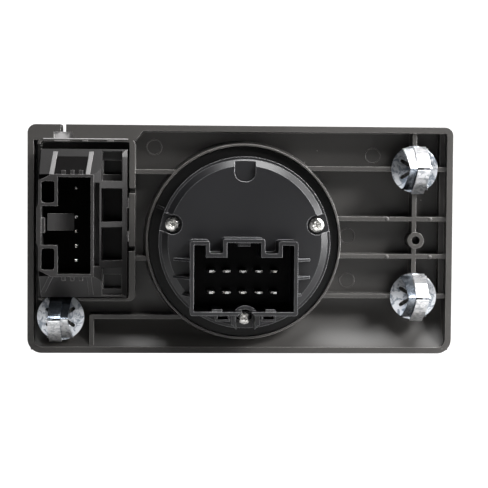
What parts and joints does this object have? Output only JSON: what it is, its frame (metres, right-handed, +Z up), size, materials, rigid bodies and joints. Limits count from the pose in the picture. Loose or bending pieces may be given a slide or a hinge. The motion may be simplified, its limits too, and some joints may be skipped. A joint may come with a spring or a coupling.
{
  "type": "headlight switch",
  "caption": "Vehicle light switch panel: shallow bezel with a rotary pull knob, a dimmer thumbwheel, rear plug sockets and spring retaining clips.",
  "frame": {"origin": "on the rotary knob's axis, in the plane of the bezel's rear rim", "axes": "+Y along the knob's axis to the rear, where the plugs go in; +Z up and +X to the driver's right"},
  "size_m": [0.1608, 0.0584, 0.0861],
  "materials": {
    "bezel_plastic": "fine-grained dark grey moulded plastic",
    "black_plastic": "satin black moulded plastic",
    "inner_plastic": "natural off-white moulded plastic",
    "board": "green laminate",
    "spring_steel": "bright rolled spring steel",
    "screw_steel": "zinc-plated steel",
    "contact_metal": "tinned brass",
    "knob_plastic": "soft-feel black plastic",
    "bright_trim": "bright plated trim",
    "dial_plastic": "black plastic with a light gloss",
    "clear_plastic": "clear moulded light guide",
    "dimmer_plastic": "dark grey moulded plastic",
    "lamp": "small resin lamp"
  },
  "bodies": {
    "panel": {"bezel": "bezel_plastic", "retaining_clip_1": "spring_steel", "retaining_clip_2": "spring_steel", "retaining_clip_3": "spring_steel", "switch_housing": "black_plastic", "rear_cover": "black_plastic", "cover_screw_1": "screw_steel", "cover_screw_2": "screw_steel", "cover_screw_3": "screw_steel", "contact_blade_01": "contact_metal", "contact_blade_02": "contact_metal", "contact_blade_03": "contact_metal", "contact_blade_04": "contact_metal", "contact_blade_05": "contact_metal", "contact_blade_06": "contact_metal", "contact_blade_07": "contact_metal", "contact_blade_08": "contact_metal", "contact_blade_09": "contact_metal", "contact_blade_10": "contact_metal", "circuit_board": "board", "dial_lamp_1": "lamp", "dial_lamp_2": "lamp", "dial_lamp_3": "lamp", "detent_plunger": "inner_plastic", "detent_spring": "spring_steel", "dial_ring": "dial_plastic", "light_guide": "clear_plastic", "dimmer_housing": "dimmer_plastic", "dimmer_front": "dial_plastic", "dimmer_board": "board", "dimmer_pin_1": "contact_metal", "dimmer_pin_2": "contact_metal", "dimmer_pin_3": "contact_metal", "dimmer_pin_4": "contact_metal", "dimmer_pin_5": "contact_metal", "detent_leaf": "spring_steel", "dimmer_lamp": "lamp", "potentiometer": "inner_plastic"},
    "selector_rotor": {"contact_rotor": "inner_plastic", "contact_spring_1": "spring_steel", "contact_spring_2": "spring_steel", "contact_spring_3": "spring_steel"},
    "pull_knob": {"knob": "knob_plastic", "knob_ring": "bright_trim", "knob_shaft": "inner_plastic"},
    "dimmer_wheel": {"thumbwheel": "knob_plastic", "wheel_axle": "spring_steel"}
  },
  "joints": [
    {"name": "selector_turn", "type": "hinge", "parent": "panel", "child": "selector_rotor", "pos_m": [0, 0, 0], "axis": [0, 1, 0], "range_deg": [-30, 60]},
    {"name": "knob_pull", "type": "slide", "parent": "selector_rotor", "child": "pull_knob", "axis": [0, -1, 0], "range_m": [0, 0.005]},
    {"name": "dimmer_turn", "type": "hinge", "parent": "panel", "child": "dimmer_wheel", "pos_m": [0.0598, -0.0076, 0.0067], "axis": [1, 0, 0], "range_deg": [-55, 55]}
  ]
}
